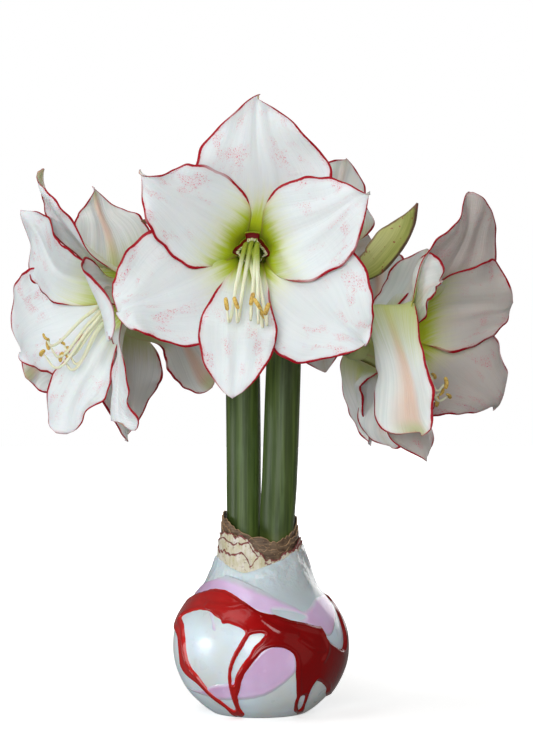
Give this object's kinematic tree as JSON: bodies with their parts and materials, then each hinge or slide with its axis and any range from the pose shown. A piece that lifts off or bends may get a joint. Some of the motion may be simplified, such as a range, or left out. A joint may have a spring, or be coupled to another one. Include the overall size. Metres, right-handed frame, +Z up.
{
  "type": "waxed amaryllis bulb",
  "caption": "Flowering amaryllis bulb dipped in white wax with red and pink drips, on a flat base, with tall green scapes topped by open white blooms edged in red.",
  "frame": {"origin": "centre of the wax coat's flat base", "axes": "+Z up, -Y towards the front of the picture, +X to its right"},
  "size_m": [0.2965, 0.2528, 0.3381],
  "materials": {
    "wax_white": "glossy white wax",
    "wax_red": "glossy deep red wax",
    "wax_pink": "glossy pale pink wax",
    "bulb": "fleshy cream scales",
    "tunic": "dry papery skin",
    "scape": "smooth green stem with a pale bloom",
    "bract": "thin green leaf, satin",
    "petal": "soft satin petal",
    "stamen": "smooth filament, powdery anther"
  },
  "bodies": {
    "root": {"wax_coat": "wax_white", "wax_red": "wax_red", "wax_pink_upper": "wax_pink", "wax_pink_lower": "wax_pink", "bulb": "bulb", "papery_tunic": "tunic", "scape_left": "scape", "scape_right": "scape", "spathe_left": "bract", "spathe_right": "bract", "bloom_front": "petal", "stamens_front": "stamen", "bloom_left": "petal", "stamens_left": "stamen", "bloom_right": "petal", "stamens_right": "stamen", "bloom_back_left": "petal", "stamens_back_left": "stamen", "bloom_back_right": "petal", "stamens_back_right": "stamen", "bloom_back": "petal", "stamens_back": "stamen"}
  },
  "joints": []
}
